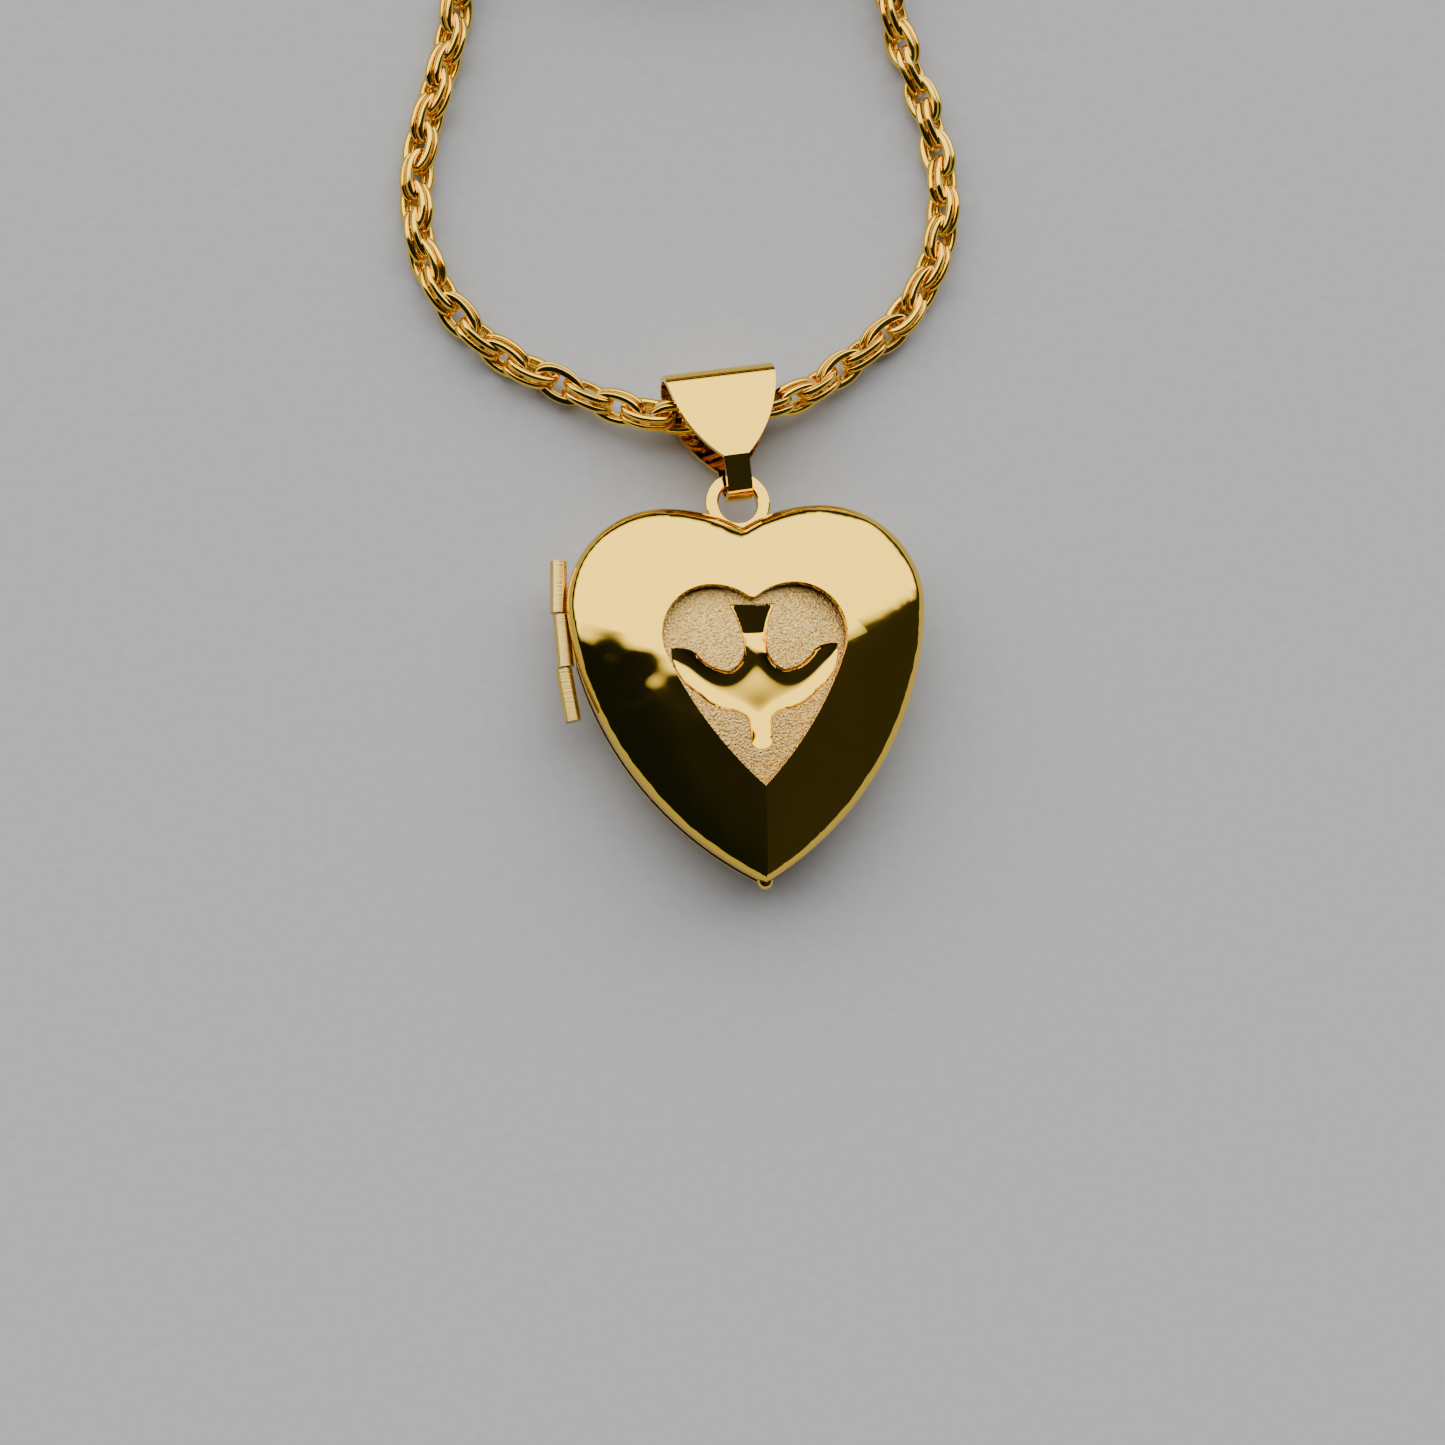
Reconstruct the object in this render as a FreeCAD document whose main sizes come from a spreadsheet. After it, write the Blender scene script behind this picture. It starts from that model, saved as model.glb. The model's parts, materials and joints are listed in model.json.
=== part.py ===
"""A heart-shaped locket on its necklace chain, as a parametric FreeCAD document.

The locket lies on its back: +Z leaves the front cover, +Y runs up to the bail and +X to the right of
the heart. The origin is on the flat of the back shell, under the middle of the heart. Millimetres.
"""
import FreeCAD
import Part

import math
import os

import Sketcher

Vector = FreeCAD.Vector
Rotation = FreeCAD.Rotation
Placement = FreeCAD.Placement

PARTS_FOLDER = "parts"
DOME_STEPS = 7
MIDDLE = Vector(0, 0, 0)
X_AXIS = Vector(1, 0, 0)
Y_AXIS = Vector(0, 1, 0)
Z_AXIS = Vector(0, 0, 1)
CYCLE_AXES = Vector(1, 1, 1)
QUARTER_TURN = 90
HALF_TURN = 180
FULL_TURN = 360
LEAST_CHANGE = 1e-4

DIMENSIONS = {
    # the heart outline of the case at full size
    "half_width": 10.0,
    "case_lobe_radius": 5.6,
    "case_lobe_x": 4.4,
    "case_lobe_y": 4.95,
    "case_crown_radius": 8.6,
    "case_side_radius": 18.97,
    "case_tip_depth": 10.55,
    "notch_radius": 0.25,
    "notch_growth": 3.2,
    # the stack, from the floor up
    "wall": 0.35,
    "back_rise": 2.52,
    "flat_angle": 63.2,
    "flange": 0.5,
    "reveal": 0.2,
    "mating_height": 2.75,
    "mating_gap": 0.05,
    "front_rise": 2.5,
    "crown_angle": 78.0,
    "slip": 0.03,
    # photo wells
    "rim_thick": 0.5,
    "well_scale": 0.8,
    "well_wall": 0.02,
    "well_depth": 1.1,
    "well_floor": 0.2,
    "lip_scale": 0.835,
    "lip_height": 0.25,
    "lip_clearance": 0.008,
    "insert_scale": 0.785,
    "frame_hole_scale": 0.7,
    "card_thick": 0.2,
    "window_thick": 0.25,
    "frame_thick": 0.5,
    # emblem window, a slimmer heart than the case, and the plate behind it
    "emblem_lobe_radius": 2.85,
    "emblem_lobe_x": 2.3,
    "emblem_lobe_y": 2.9,
    "emblem_crown_radius": 3.3,
    "emblem_side_radius": 22.0,
    "emblem_tip_depth": 5.58,
    "emblem_notch": 0.35,
    "emblem_low_scale": 0.95,
    "emblem_high_scale": 1.03,
    "emblem_low": 4.4,
    "emblem_high": 6.2,
    "plate_scale": 1.12,
    "plate_radius": 38.0,
    "plate_top": 5.3,
    "plate_thick": 0.45,
    "relief_depth": 0.28,
    # hinge
    "hinge_tilt": 2.0,
    "hinge_x": 10.22,
    "hinge_y": 3.35,
    "knuckle_radius": 0.46,
    "knuckle_bore": 0.24,
    "knuckle_length": 2.9,
    "knuckle_gap": 0.14,
    "knuckle_lean": 5.0,
    "pin_radius": 0.2,
    "hinge_clearance": 0.06,
    # thumb catch at the tip
    "catch_radius": 0.45,
    "catch_inset": 0.15,
    # ring on the back half that the bail hangs in
    "ring_y": 10.95,
    "ring_radius": 1.83,
    "ring_hole": 1.1,
    "ring_thick": 0.7,
    "ring_bottom": 2.0,
    "ring_edge": 0.12,
    # bail
    "bail_sheet": 0.35,
    "bail_eye_radius": 0.9,
    "bail_fold_radius": 1.3,
    "bail_length": 4.9,
    "bail_slack": 0.95,
    "bail_drop": 4.3,
    "bail_neck_half": 0.7,
    "bail_half": 3.12,
    "bail_waist": 0.9,
    "bail_shoulder": 5.87,
    "bail_flank": 7.5,
    "bail_lean": 6.0,
    # chain
    "chain_radius": 0.9,
    "chain_straight": 3.8,
    "coil_x": -1.0,
    "coil_y": 57.0,
    "coil_inner": 7.6,
    "coil_outer": 13.2,
    "coil_thick": 3.6,
    # spring-ring clasp
    "clasp_x": -3.1,
    "clasp_y": 55.6,
    "clasp_turn": 100.0,
    "clasp_radius": 2.3,
    "clasp_tube": 0.7,
    "clasp_bore": 0.48,
    "clasp_bolt": 0.4,
    "clasp_gap": 62.0,
    "bolt_inside": 34.0,
    "bolt_travel": 50.0,
    "nub_angle": 18.0,
    "nub_length": 1.075,
    "nub_radius": 0.2,
    "slot_height": 0.56,
    "slot_margin": 8.5,
    "spring_rest": 2.0,
    "spring_length": 60.0,
    "spring_outer": 0.42,
    "spring_inner": 0.3,
    "clasp_eye": 0.48,
    "clasp_eye_wire": 0.2,
    "jump_ring": 1.15,
    "jump_wire": 0.22,
    "end_ring": 1.6,
    "end_wire": 0.3,
    "end_ring_x": 4.4,
    "end_ring_y": 55.3,
}

# Half of the dove, from the middle of the tail down to the head: x, y and the bulge of the edge that
# follows each corner. A bulge is how far the arc stands off its chord, positive to the right of travel.
DOVE_HALF = [
    (0.0, 4.55, 0.0),
    (1.25, 4.6, 0.12),
    (0.62, 2.35, 0.3),
    (1.5, 0.85, 0.25),
    (3.3, 1.95, -0.12),
    (4.6, 2.25, -0.4),
    (3.3, -0.3, -0.15),
    (1.75, -1.3, 0.1),
    (0.72, -1.75, 0.06),
    (0.6, -2.9, -0.2),
    (0.0, -3.5, 0.0),
]

# Each half of the chain leaves the middle of the bail along the pivot, comes down to the surface and
# runs up to the coil. These are the corners of its runs after the bail, chosen by hand.
LEFT_ROUTE = [
    (-8.6, 18.2, 0.95),
    (-13.4, 20.6, 0.9),
    (-16.9, 25.6, 0.9),
    (-17.0, 32.0, 0.9),
    (-14.6, 38.6, 0.9),
    (-13.3, 45.2, 0.9),
    (-13.35, 50.6, 0.9),
]
RIGHT_ROUTE = [
    (7.0, 19.3, 0.95),
    (11.2, 22.4, 0.9),
    (13.7, 27.6, 0.9),
    (13.4, 33.8, 0.9),
    (11.5, 39.6, 0.95),
    (10.9, 45.2, 1.9),
    (11.35, 50.4, 2.7),
]
ARC_SHARE = 0.45

document = FreeCAD.newDocument("Locket")
sheet = document.addObject("Spreadsheet::Sheet", "Dims")


def fill_sheet():
    for row, (alias, value) in enumerate(DIMENSIONS.items(), start=1):
        sheet.set(f"A{row}", alias)
        sheet.set(f"B{row}", str(value))
        sheet.setAlias(f"B{row}", alias)
    document.recompute()


def size(alias):
    return float(sheet.get(alias))


def evaluate(expression):
    return float(sheet.evalExpression(expression.replace("Dims.", "")))


fill_sheet()

# --- small helpers ---


def bind(item, **expressions):
    for name, expression in expressions.items():
        item.setExpression(name, expression)
    return item


def add_body(label):
    body = document.addObject("PartDesign::Body", label)
    body.Label = label
    return body


def add_feature(body, kind, sketch, **expressions):
    """A Pad, Pocket or other sketched feature; raises if it leaves the body as it was."""
    before = 0 if body.Shape.isNull() else body.Shape.Volume
    feature = body.newObject(f"PartDesign::{kind}", f"{sketch.Name}_{kind}")
    feature.Profile = sketch
    bind(feature, **expressions)
    return feature, before


def settle(body, before, label):
    document.recompute()
    if abs(body.Shape.Volume - before) < LEAST_CHANGE:
        raise ValueError(f"{label} changed nothing")


def pad(body, sketch, length, downward=False):
    feature, before = add_feature(body, "Pad", sketch, Length=length)
    feature.Reversed = downward
    settle(body, before, feature.Name)


def pocket(body, sketch, depth, upward=False):
    feature, before = add_feature(body, "Pocket", sketch, Length=depth)
    feature.Reversed = upward
    settle(body, before, feature.Name)


def loft(body, kind, sections):
    feature, before = add_feature(body, kind, sections[0])
    feature.Sections = sections[1:]
    settle(body, before, feature.Name)


def add_sketch(owner, name):
    """A sketch on a body's XY plane, or a free one in the document."""
    if owner is document:
        return document.addObject("Sketcher::SketchObject", name)
    sketch = owner.newObject("Sketcher::SketchObject", name)
    plane = next(f for f in owner.Origin.OriginFeatures if f.Role == "XY_Plane")
    sketch.AttachmentSupport = [(plane, "")]
    sketch.MapMode = "FlatFace"
    return sketch


def lift(sketch, owner, height, along="0"):
    slot = "Placement" if owner is document else "AttachmentOffset"
    sketch.setExpression(f"{slot}.Base.z", height)
    sketch.setExpression(f"{slot}.Base.y", along)


def bind_constraint(sketch, label, constraint, expression):
    index = sketch.addConstraint(constraint)
    sketch.renameConstraint(index, label)
    sketch.setExpression(f"Constraints.{label}", expression)


def solid(kind, label, placement=None, **expressions):
    """A Part primitive such as a Cylinder, Torus or Sphere, with its sizes bound to the sheet."""
    item = document.addObject(f"Part::{kind}", label)
    item.Label = label
    if placement:
        item.Placement = placement
    return bind(item, **expressions)


def combine(kind, label, base, tool):
    item = document.addObject(f"Part::{kind}", label)
    item.Label = label
    item.Base = base
    item.Tool = tool
    return item


def extrude(label, sketch, length, symmetric=False):
    item = document.addObject("Part::Extrusion", label)
    item.Base = sketch
    item.DirMode = "Normal"
    item.Solid = True
    item.Symmetric = symmetric
    return bind(item, LengthFwd=length)


# --- the heart outline, which every plate, well and dome section repeats at some scale ---


def unit(angle):
    return Vector(math.cos(angle), math.sin(angle), 0)


def heart_arcs(kind, scale, notch_radius):
    """The arcs of a heart: right side, lobe and crown, the notch, then the same on the left."""

    def scaled(name):
        return size(f"{kind}_{name}") * scale

    lobe = Vector(scaled("lobe_x"), scaled("lobe_y"), 0)
    crown = lobe + Vector(0, scaled("lobe_radius") - scaled("crown_radius"), 0)
    tip = Vector(0, -scaled("tip_depth"), 0)
    # the side arc is tangent inside to the lobe and passes through the tip
    side_radius = scaled("side_radius")
    gap = side_radius - scaled("lobe_radius")
    reach = (lobe - tip).Length
    cosine = (reach**2 + side_radius**2 - gap**2) / (2 * reach * side_radius)
    heading = math.atan2(lobe.y - tip.y, lobe.x - tip.x) + math.acos(cosine)
    side = tip + unit(heading) * side_radius
    meet = math.atan2(lobe.y - side.y, lobe.x - side.x)
    start = math.atan2(tip.y - side.y, tip.x - side.x)
    # the notch rounds the valley between the crowns from outside
    top = math.pi / 2
    rise = math.sqrt((scaled("crown_radius") + notch_radius) ** 2 - crown.x**2)
    notch = Vector(0, crown.y + rise, 0)
    dip = math.atan2(rise, -crown.x)

    def arc(centre, radius, first, last):
        return Part.ArcOfCircle(Part.Circle(centre, Z_AXIS, radius), first, last)

    def flip(point):
        return Vector(-point.x, point.y, 0)

    return [
        arc(side, side_radius, start, meet),
        arc(lobe, scaled("lobe_radius"), meet, top),
        arc(crown, scaled("crown_radius"), top, dip),
        arc(notch, notch_radius, 2 * math.pi - dip, math.pi + dip),
        arc(flip(crown), scaled("crown_radius"), math.pi - dip, top),
        arc(flip(lobe), scaled("lobe_radius"), top, math.pi - meet),
        arc(flip(side), side_radius, math.pi - meet, math.pi - start),
    ]


def heart_sketch(owner, name, scale, height, notch="Dims.notch_radius", kind="case"):
    """A constrained heart parallel to XY; scale, height and notch are expressions."""
    sketch = add_sketch(owner, name)
    full = evaluate(scale)
    for arc in heart_arcs(kind, full, evaluate(notch)):
        sketch.addGeometry(arc, False)
    start, end, centre = 1, 2, 3
    right_side, right_lobe, right_crown, dip, left_crown, left_lobe, left_side = range(7)
    origin, y_axis = -1, -2
    rule = Sketcher.Constraint
    sketch.addConstraint(
        [
            rule("Tangent", right_side, end, right_lobe, start),
            rule("Tangent", right_lobe, end, right_crown, start),
            rule("Tangent", right_crown, end, dip, end),
            rule("Tangent", dip, start, left_crown, start),
            rule("Tangent", left_crown, end, left_lobe, start),
            rule("Tangent", left_lobe, end, left_side, start),
            rule("Coincident", left_side, end, right_side, start),
            rule("PointOnObject", right_side, start, y_axis),
            rule("Symmetric", right_lobe, centre, left_lobe, centre, y_axis),
            rule("Vertical", right_lobe, centre, right_crown, centre),
            rule("Vertical", left_lobe, centre, left_crown, centre),
            rule("Equal", right_lobe, left_lobe),
            rule("Equal", right_crown, left_crown),
            rule("Equal", right_side, left_side),
        ]
    )
    radii = {"lobe_radius": right_lobe, "crown_radius": right_crown, "side_radius": right_side}
    for label, arc in radii.items():
        constraint = rule("Radius", arc, size(f"{kind}_{label}") * full)
        bind_constraint(sketch, label, constraint, f"Dims.{kind}_{label} * ({scale})")
    bind_constraint(sketch, "notch", rule("Radius", dip, evaluate(notch)), notch)
    places = {
        "lobe_x": ("DistanceX", origin, start, right_lobe, centre),
        "lobe_y": ("DistanceY", origin, start, right_lobe, centre),
        "tip_depth": ("DistanceY", right_side, start, origin, start),
    }
    for label, ends in places.items():
        constraint = rule(*ends, size(f"{kind}_{label}") * full)
        bind_constraint(sketch, label, constraint, f"Dims.{kind}_{label} * ({scale})")
    lift(sketch, owner, height)
    return sketch


def dome_sections(body, name, scale, base, rise, last_angle, inset="0"):
    """Hearts that shrink with an angle's cosine and climb with its sine; the notch softens upward."""
    sections = []
    for step in range(DOME_STEPS + 1):
        angle = f"({last_angle}) * {step} / {DOME_STEPS}"
        sections.append(
            heart_sketch(
                body,
                f"{name}_{step}",
                f"({scale}) * cos({angle})",
                f"({base}) + ({rise}) * sin({angle})",
                f"Dims.notch_radius + {inset} + Dims.notch_growth * (1 - cos({angle}))",
            )
        )
    return sections


# --- where things are ---

FRONT_DECK = "(Dims.mating_height + Dims.mating_gap)"
FLANGE_THICK = "(Dims.flange - Dims.reveal)"
INNER_SCALE = "(1 - Dims.wall / Dims.half_width)"
OUTSIDE_SCALE = "(1 + Dims.slip / Dims.half_width)"
RIM_SCALE = "(1 - (Dims.wall + 2 * Dims.slip) / Dims.half_width)"


def hinge_place(along=0.0, lean=0.0):
    """The hinge axis as a placement whose Z runs up the axis, moved along it and leaned about there."""
    middle = Vector(-size("hinge_x"), size("hinge_y"), size("mating_height") + size("mating_gap") / 2)
    turn = Rotation(Z_AXIS, size("hinge_tilt"))
    middle += turn.multVec(Vector(0, along, 0))
    return Placement(middle, Rotation(Z_AXIS, size("hinge_tilt") + lean) * Rotation(X_AXIS, -QUARTER_TURN))


def eye_centre():
    """Middle of the bail's lower eye, inside the top bar of the hanging ring."""
    bar = (size("ring_radius") + size("ring_hole")) / 2
    return Vector(0, size("ring_y") + bar, size("ring_bottom") + size("ring_thick") / 2)


def bail_place():
    """The bail's frame: its origin in the eye, its Y up to the fold, its X along both pivots."""
    turn = Rotation(Z_AXIS, size("bail_lean")) * Rotation(X_AXIS, -size("bail_drop"))
    return Placement(eye_centre(), turn)


def chain_seat():
    """Where the middle of the chain lies inside the bail, a little below the fold's own centre."""
    return bail_place().multVec(Vector(0, size("bail_length") - size("bail_slack"), 0))


def clasp_place(angle=0.0):
    centre = Vector(size("clasp_x"), size("clasp_y"), size("clasp_tube"))
    return Placement(centre, Rotation(Z_AXIS, size("clasp_turn") + angle))


# --- the two halves of the case ---


def hinge_room(name):
    """The round groove along the joint line that the knuckles turn in."""
    length = "3 * Dims.knuckle_length + 2 * Dims.knuckle_gap + 4 * Dims.hinge_clearance"
    swing = "Dims.knuckle_length / 2 * sin(Dims.knuckle_lean)"
    radius = f"Dims.knuckle_radius + {swing} + Dims.hinge_clearance"
    place = hinge_place(-evaluate(length) / 2)
    return solid("Cylinder", name, place, Radius=radius, Height=length)


def make_back_shell():
    body = add_body("back_shell_blank")
    deck = "Dims.mating_height - Dims.reveal"
    base = "Dims.mating_height - Dims.flange"
    pad(body, heart_sketch(body, "back_flange", "1", deck), FLANGE_THICK, downward=True)
    outer = dome_sections(body, "back_dome", "1", base, "-Dims.back_rise", "Dims.flat_angle")
    loft(body, "AdditiveLoft", outer)
    rise = "-(Dims.back_rise - Dims.wall)"
    inner = dome_sections(body, "back_hollow", INNER_SCALE, base, rise, "Dims.flat_angle", "Dims.wall")
    loft(body, "SubtractiveLoft", inner)
    notch = "Dims.notch_radius + Dims.wall"
    pocket(body, heart_sketch(body, "back_mouth", INNER_SCALE, deck, notch), FLANGE_THICK)
    return combine("Cut", "back_shell", body, hinge_room("back_shell_groove"))


def emblem_sketch(owner, name, scale, height):
    return heart_sketch(owner, name, scale, height, f"Dims.emblem_notch * ({scale})", kind="emblem")


def make_front_shell():
    body = add_body("front_shell_blank")
    deck = f"({FRONT_DECK} + Dims.reveal)"
    base = f"({FRONT_DECK} + Dims.flange)"
    pad(body, heart_sketch(body, "front_flange", "1", deck), FLANGE_THICK)
    outer = dome_sections(body, "front_dome", "1", base, "Dims.front_rise", "Dims.crown_angle")
    loft(body, "AdditiveLoft", outer)
    rise = "(Dims.front_rise - Dims.wall)"
    inner = dome_sections(body, "front_hollow", INNER_SCALE, base, rise, "Dims.crown_angle", "Dims.wall")
    loft(body, "SubtractiveLoft", inner)
    notch = "Dims.notch_radius + Dims.wall"
    pocket(body, heart_sketch(body, "front_mouth", INNER_SCALE, deck, notch), FLANGE_THICK, upward=True)
    ends = [
        emblem_sketch(body, f"emblem_{end}", f"Dims.emblem_{end}_scale", f"Dims.emblem_{end}")
        for end in ("low", "high")
    ]
    loft(body, "SubtractiveLoft", ends)
    return combine("Cut", "front_shell", body, hinge_room("front_shell_groove"))


def make_rim(side):
    """A half's flat inner rim and photo well. The back rim has the snap lip, the front its seat."""
    is_back = side == "back"
    deck = "Dims.mating_height" if is_back else FRONT_DECK
    body = add_body(f"{side}_rim")
    plate = heart_sketch(body, f"{side}_rim_plate", RIM_SCALE, deck)
    pad(body, plate, "Dims.rim_thick", downward=is_back)
    cup = heart_sketch(body, f"{side}_cup", "Dims.well_scale + Dims.well_wall", deck)
    pad(body, cup, "Dims.well_depth + Dims.well_floor", downward=is_back)
    mouth, depth = deck, "Dims.well_depth"
    if is_back:
        pad(body, heart_sketch(body, "snap_lip", "Dims.lip_scale", deck), "Dims.lip_height")
        mouth, depth = f"{deck} + Dims.lip_height", f"{depth} + Dims.lip_height"
    else:
        seat = heart_sketch(body, "snap_seat", "Dims.lip_scale + Dims.lip_clearance", deck)
        pocket(body, seat, "Dims.lip_height + Dims.slip", upward=True)
    pocket(body, heart_sketch(body, f"{side}_well", "Dims.well_scale", mouth), depth, upward=not is_back)
    return body


def make_photo_insert(side):
    """Photo card, clear window and the frame that holds them, stacked in the well."""
    is_back = side == "back"
    deck = "Dims.mating_height" if is_back else FRONT_DECK
    sign = "+" if is_back else "-"
    level = f"{deck} {'-' if is_back else '+'} Dims.well_depth {sign} Dims.slip"
    made = []
    for piece in ("card", "window", "frame"):
        body = add_body(f"{side}_photo_{piece}")
        outline = heart_sketch(body, f"{side}_{piece}", "Dims.insert_scale", level)
        pad(body, outline, f"Dims.{piece}_thick", downward=not is_back)
        if piece == "frame":
            hole = heart_sketch(body, f"{side}_frame_hole", "Dims.frame_hole_scale", level)
            pocket(body, hole, "Dims.frame_thick", upward=is_back)
        made.append(body)
        level = f"{level} {sign} Dims.{piece}_thick {sign} Dims.slip"
    return made


def outline_sketch(name, corners):
    """A closed outline of lines and arcs. Each corner is x, y and the bulge of the edge after it."""
    sketch = add_sketch(document, name)
    rule = Sketcher.Constraint
    start, end, origin = 1, 2, -1
    count = len(corners)
    for index, (x, y, bulge) in enumerate(corners):
        here = Vector(x, y, 0)
        there = Vector(*corners[(index + 1) % count][:2], 0)
        if bulge:
            chord = there - here
            side = Vector(chord.y, -chord.x, 0).normalize()
            arc = Part.Arc(here, (here + there) / 2 + side * bulge, there)
            sketch.addGeometry(arc, False)
        else:
            sketch.addGeometry(Part.LineSegment(here, there), False)
    for index, (x, y, bulge) in enumerate(corners):
        clockwise = bulge and bulge < 0
        first = end if clockwise else start
        before = (index - 1) % count
        last = start if corners[before][2] < 0 else end
        sketch.addConstraint(rule("Coincident", before, last, index, first))
        sketch.addConstraint(rule("DistanceX", origin, start, index, first, x))
        sketch.addConstraint(rule("DistanceY", origin, start, index, first, y))
    return sketch


def dove_outline():
    """The dove's whole outline: the half as it stands, then its mirror image back to the tail."""
    whole = list(DOVE_HALF[:-1])
    mirrored = [(-x, y) for x, y, bulge in reversed(DOVE_HALF)]
    bulges = [bulge for x, y, bulge in reversed(DOVE_HALF[:-1])]
    whole += [(x, y, bulge) for (x, y), bulge in zip(mirrored[:-1], bulges)]
    return whole


def make_emblem_plate():
    """The domed plate behind the heart window, with the dove sunk into it."""
    blank = emblem_sketch(document, "plate_outline", "Dims.plate_scale", "Dims.emblem_low")
    prism = extrude("plate_prism", blank, "Dims.emblem_high - Dims.emblem_low")
    centre = Vector(0, 0, size("plate_top") - size("plate_radius"))
    on_side = Placement(centre, Rotation(X_AXIS, QUARTER_TURN))
    dome = solid("Sphere", "plate_dome", on_side, Radius="Dims.plate_radius")
    under = solid("Sphere", "plate_under", on_side, Radius="Dims.plate_radius - Dims.plate_thick")
    floor = solid("Sphere", "relief_floor", on_side, Radius="Dims.plate_radius - Dims.relief_depth")
    cap = combine("Common", "plate_cap", prism, dome)
    leaf = combine("Cut", "plate_leaf", cap, under)
    dove = outline_sketch("dove_outline", dove_outline())
    lift(dove, document, "Dims.emblem_low")
    dove_prism = extrude("dove_prism", dove, "Dims.emblem_high - Dims.emblem_low")
    return combine("Cut", "emblem_plate", leaf, combine("Cut", "dove_cutter", dove_prism, floor))


def outside_case(name, piece, label):
    """The piece with everything inside the case's outline cut away, so that it butts against the edge."""
    outline = heart_sketch(document, name, OUTSIDE_SCALE, "0")
    return combine("Cut", label, piece, extrude(f"{name}_prism", outline, "2 * Dims.mating_height"))


def make_thumb_catch():
    """A half-round bead on the edge of the front cover at the tip of the heart, for a fingernail."""
    along = size("catch_inset") - size("case_tip_depth")
    height = size("mating_height") + size("mating_gap") + size("reveal")
    place = Placement(Vector(0, along, height), Rotation())
    bead = solid("Sphere", "catch_bead", place, Radius="Dims.catch_radius", Angle1="0")
    return outside_case("catch_edge", bead, "thumb_catch")


# --- hinge ---


def make_knuckle(label, place_index):
    """One barrel of the hinge. The end ones lean in, as the case curves away from the straight pin."""
    along = place_index * (size("knuckle_length") + size("knuckle_gap"))
    lean = -place_index * size("knuckle_lean")
    half = size("knuckle_length") / 2
    place = hinge_place(along, lean)
    place.Base = place.multVec(Vector(0, 0, -half))
    length = "Dims.knuckle_length"
    barrel = solid("Cylinder", f"{label}_barrel", place, Radius="Dims.knuckle_radius", Height=length)
    bore_place = hinge_place(along - size("knuckle_length"))
    through = f"2 * {length}"
    bore = solid("Cylinder", f"{label}_bore", bore_place, Radius="Dims.knuckle_bore", Height=through)
    return combine("Cut", label, barrel, bore)


def make_hinge():
    length = "3 * Dims.knuckle_length + 2 * Dims.knuckle_gap"
    place = hinge_place(-evaluate(length) / 2)
    return [
        make_knuckle("hinge_knuckle_top", 1),
        make_knuckle("hinge_knuckle_middle", 0),
        make_knuckle("hinge_knuckle_bottom", -1),
        solid("Cylinder", "hinge_pin", place, Radius="Dims.pin_radius", Height=length),
    ]


# --- hanging ring and bail ---


def circle_sketch(body, name, radius, height, along):
    sketch = add_sketch(body, name)
    sketch.addGeometry(Part.Circle(MIDDLE, Z_AXIS, evaluate(radius)), False)
    circle, centre, origin, start = 0, 3, -1, 1
    sketch.addConstraint(Sketcher.Constraint("Coincident", circle, centre, origin, start))
    bind_constraint(sketch, "radius", Sketcher.Constraint("Radius", circle, evaluate(radius)), radius)
    lift(sketch, body, height, along)
    return sketch


def make_hanging_ring():
    """A flat ring with soft edges, soldered into the notch of the back half."""
    body = add_body("hanging_ring_blank")
    disc = circle_sketch(body, "ring_disc", "Dims.ring_radius", "Dims.ring_bottom", "Dims.ring_y")
    pad(body, disc, "Dims.ring_thick")
    hole = circle_sketch(body, "ring_hole", "Dims.ring_hole", "Dims.ring_bottom", "Dims.ring_y")
    pocket(body, hole, "Dims.ring_thick", upward=True)
    edges = enumerate(body.Shape.Edges, start=1)
    rims = [f"Edge{number}" for number, edge in edges if isinstance(edge.Curve, Part.Circle)]
    pocketed = body.Tip
    fillet = body.newObject("PartDesign::Fillet", "ring_fillet")
    fillet.Base = (pocketed, rims)
    bind(fillet, Radius="Dims.ring_edge")
    return outside_case("ring_seat", body, "hanging_ring")


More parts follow.
